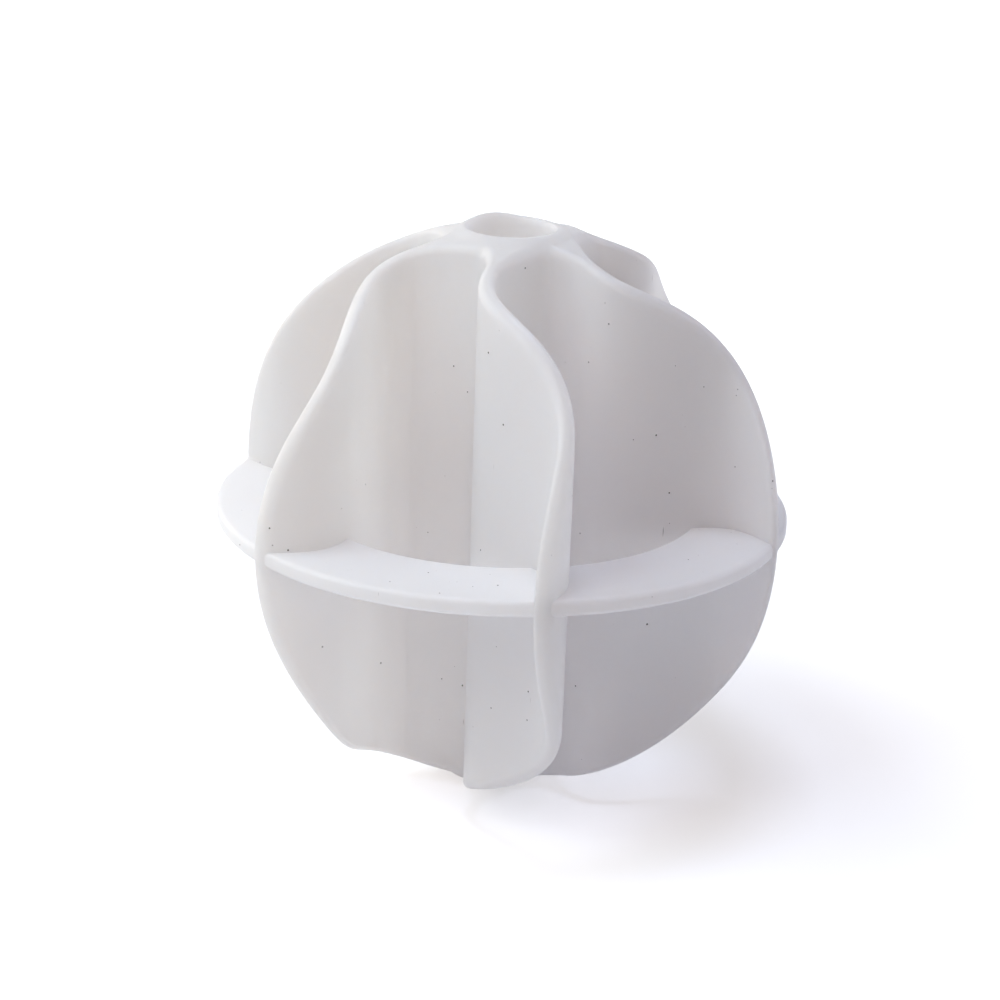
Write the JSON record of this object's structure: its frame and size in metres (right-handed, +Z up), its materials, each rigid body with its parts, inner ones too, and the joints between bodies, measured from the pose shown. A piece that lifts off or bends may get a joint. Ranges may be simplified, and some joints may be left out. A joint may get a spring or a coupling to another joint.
{
  "type": "laundry ball",
  "caption": "Soft plastic laundry ball: S-shaped upright vanes stand round a hollow hub, with a flat ring between them, to keep a wash from tangling.",
  "frame": {"origin": "centre of the ball, on the hub's axis in the ring's mid-plane", "axes": "+Z up along the hub's axis, -Y towards the picture's viewer, +X to the viewer's right"},
  "size_m": [0.0698, 0.0698, 0.0704],
  "materials": {
    "milky_plastic": "satin, milky and slightly translucent"
  },
  "bodies": {
    "root": {"hub": "milky_plastic", "vane_1": "milky_plastic", "vane_2": "milky_plastic", "vane_3": "milky_plastic", "vane_4": "milky_plastic", "vane_5": "milky_plastic", "vane_6": "milky_plastic", "ring_segment_1": "milky_plastic", "ring_segment_2": "milky_plastic", "ring_segment_3": "milky_plastic", "ring_segment_4": "milky_plastic", "ring_segment_5": "milky_plastic", "ring_segment_6": "milky_plastic"}
  },
  "joints": []
}
